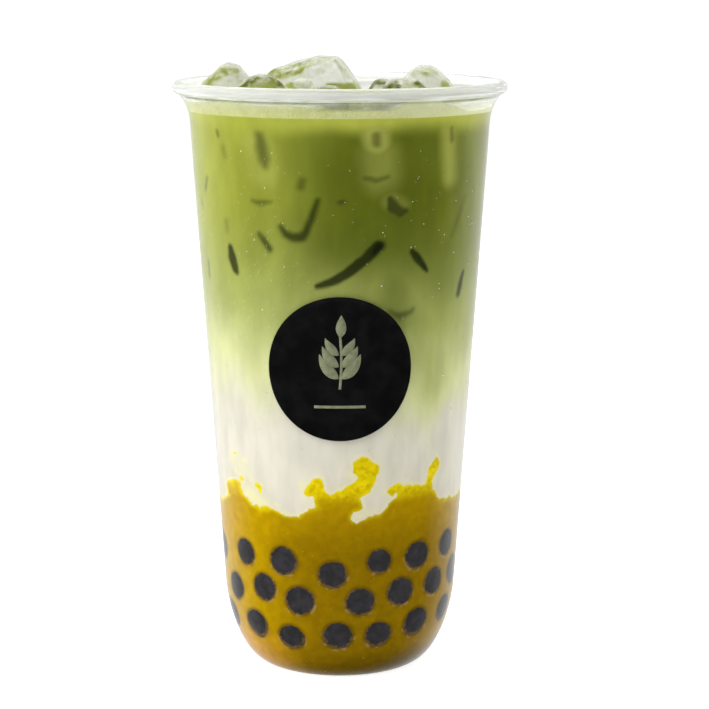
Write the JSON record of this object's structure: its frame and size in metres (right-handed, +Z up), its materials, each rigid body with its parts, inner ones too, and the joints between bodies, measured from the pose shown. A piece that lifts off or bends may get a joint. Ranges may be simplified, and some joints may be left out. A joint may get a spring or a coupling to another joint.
{
  "type": "iced matcha latte with tapioca pearls",
  "caption": "Tall clear cup of iced matcha over milk and fruit puree, with tapioca pearls at the bottom, ice at the top and a plain round black print.",
  "frame": {"origin": "middle of the cup's base, on the surface that it stands on", "axes": "+Z up along the cup's axis; the round print faces -Y; +X is to the right as seen from the print's side"},
  "size_m": [0.095, 0.095, 0.1753],
  "materials": {
    "clear_plastic": "clear glossy moulded plastic",
    "black_print": null,
    "matcha_green": "opaque wet green drink",
    "milk_white": "opaque wet white drink",
    "puree_yellow": "wet golden fruit puree",
    "pale_froth": "fine-bubbled pale green froth",
    "wet_ice": "wet half-melted clear ice",
    "pearl_black": "smooth dark tapioca"
  },
  "bodies": {
    "root": {"cup": "clear_plastic", "label": "black_print", "matcha": "matcha_green", "milk": "milk_white", "puree": "puree_yellow", "foam": "pale_froth", "ice_left": "wet_ice", "ice_tall": "wet_ice", "ice_front_left": "wet_ice", "ice_pebble": "wet_ice", "ice_front": "wet_ice", "ice_right": "wet_ice", "ice_small": "wet_ice", "ice_front_right": "wet_ice", "ice_back": "wet_ice", "pearl_01": "pearl_black", "pearl_02": "pearl_black", "pearl_03": "pearl_black", "pearl_04": "pearl_black", "pearl_05": "pearl_black", "pearl_06": "pearl_black", "pearl_07": "pearl_black", "pearl_08": "pearl_black", "pearl_09": "pearl_black", "pearl_10": "pearl_black", "pearl_11": "pearl_black", "pearl_12": "pearl_black", "pearl_13": "pearl_black", "pearl_14": "pearl_black", "pearl_15": "pearl_black", "pearl_16": "pearl_black", "pearl_17": "pearl_black", "pearl_18": "pearl_black", "pearl_19": "pearl_black", "pearl_20": "pearl_black", "pearl_21": "pearl_black", "pearl_22": "pearl_black", "pearl_23": "pearl_black", "pearl_24": "pearl_black", "pearl_25": "pearl_black", "pearl_26": "pearl_black", "pearl_27": "pearl_black", "pearl_28": "pearl_black", "pearl_29": "pearl_black", "pearl_30": "pearl_black", "pearl_31": "pearl_black", "pearl_32": "pearl_black", "pearl_33": "pearl_black", "pearl_34": "pearl_black", "pearl_35": "pearl_black", "pearl_36": "pearl_black", "pearl_37": "pearl_black", "pearl_38": "pearl_black", "pearl_39": "pearl_black", "pearl_40": "pearl_black", "pearl_41": "pearl_black", "pearl_42": "pearl_black"}
  },
  "joints": []
}
